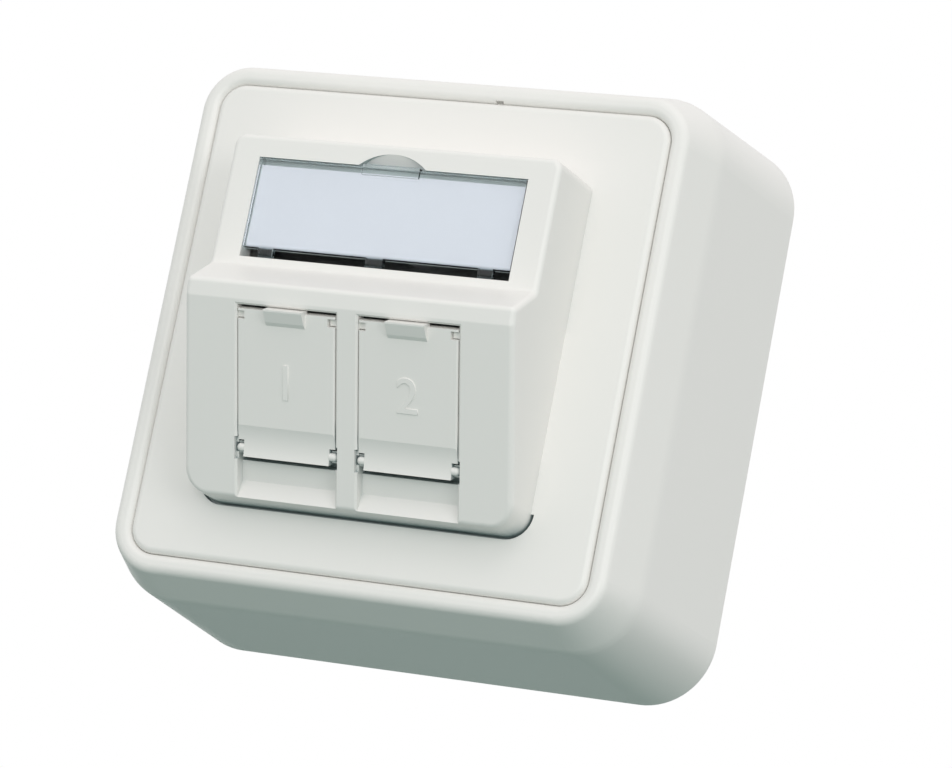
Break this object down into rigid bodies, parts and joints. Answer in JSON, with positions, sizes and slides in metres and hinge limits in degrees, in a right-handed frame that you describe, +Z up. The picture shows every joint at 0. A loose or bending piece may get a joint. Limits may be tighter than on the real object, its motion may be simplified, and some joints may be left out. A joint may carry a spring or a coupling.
{
  "type": "surface mount jack box",
  "caption": "Surface mount jack box: deep drafted housing, slanted outlet block with hinged dust flaps over shielded sockets, and a clear label cover.",
  "frame": {"origin": "middle of the flat face that lies on the wall", "axes": "+X to the right, +Z up, +Y into the wall; the front faces -Y"},
  "size_m": [0.0838, 0.0553, 0.0838],
  "materials": {
    "white_plastic": "moulded thermoplastic, pure white, fine satin gloss",
    "base_plastic": "moulded thermoplastic, white, matt",
    "clear_plastic": "clear moulded polycarbonate",
    "label_card": "smooth pale blue-white card",
    "cast_zinc": "die-cast zinc, bare",
    "plated_zinc": "die-cast zinc, nickel plated",
    "screw_steel": "zinc plated steel",
    "screw_brass": "plain brass",
    "dark_plastic": "moulded thermoplastic, black",
    "grey_plastic": "moulded thermoplastic, light grey",
    "gold_contact": "gold plated spring bronze",
    "tinned_bronze": "tin plated bronze",
    "green_board": "green printed circuit board"
  },
  "bodies": {
    "outlet": {"carrier_frame": "cast_zinc", "centre_plate": "white_plastic", "centre_screw": "screw_steel", "circuit_board_left": "green_board", "circuit_board_right": "green_board", "cutting_blades_left": "tinned_bronze", "cutting_blades_right": "tinned_bronze", "earth_screw": "screw_brass", "frame_screws": "screw_steel", "jack_contacts_left": "gold_contact", "jack_contacts_right": "gold_contact", "jack_insert_left": "dark_plastic", "jack_insert_right": "dark_plastic", "jack_shield_left": "plated_zinc", "jack_shield_right": "plated_zinc", "label_card": "label_card", "rear_cap_left": "plated_zinc", "rear_cap_right": "plated_zinc", "surface_housing": "white_plastic", "wall_base": "base_plastic", "wire_block_left": "grey_plastic", "wire_block_right": "grey_plastic"},
    "cover": {"label_cover": "clear_plastic"},
    "flap_left": {"dust_flap_left": "white_plastic"},
    "flap_right": {"dust_flap_right": "white_plastic"}
  },
  "joints": [
    {"name": "cover_hinge", "type": "hinge", "parent": "outlet", "child": "cover", "pos_m": [0, -0.04863, 0.00695], "axis": [1, 0, 0], "range_deg": [0, 90]},
    {"name": "flap_left_hinge", "type": "hinge", "parent": "outlet", "child": "flap_left", "pos_m": [-0.00925, -0.04461, -0.01986], "axis": [1, 0, 0], "range_deg": [0, 160]},
    {"name": "flap_right_hinge", "type": "hinge", "parent": "outlet", "child": "flap_right", "pos_m": [0.00925, -0.04461, -0.01986], "axis": [1, 0, 0], "range_deg": [0, 160]}
  ]
}
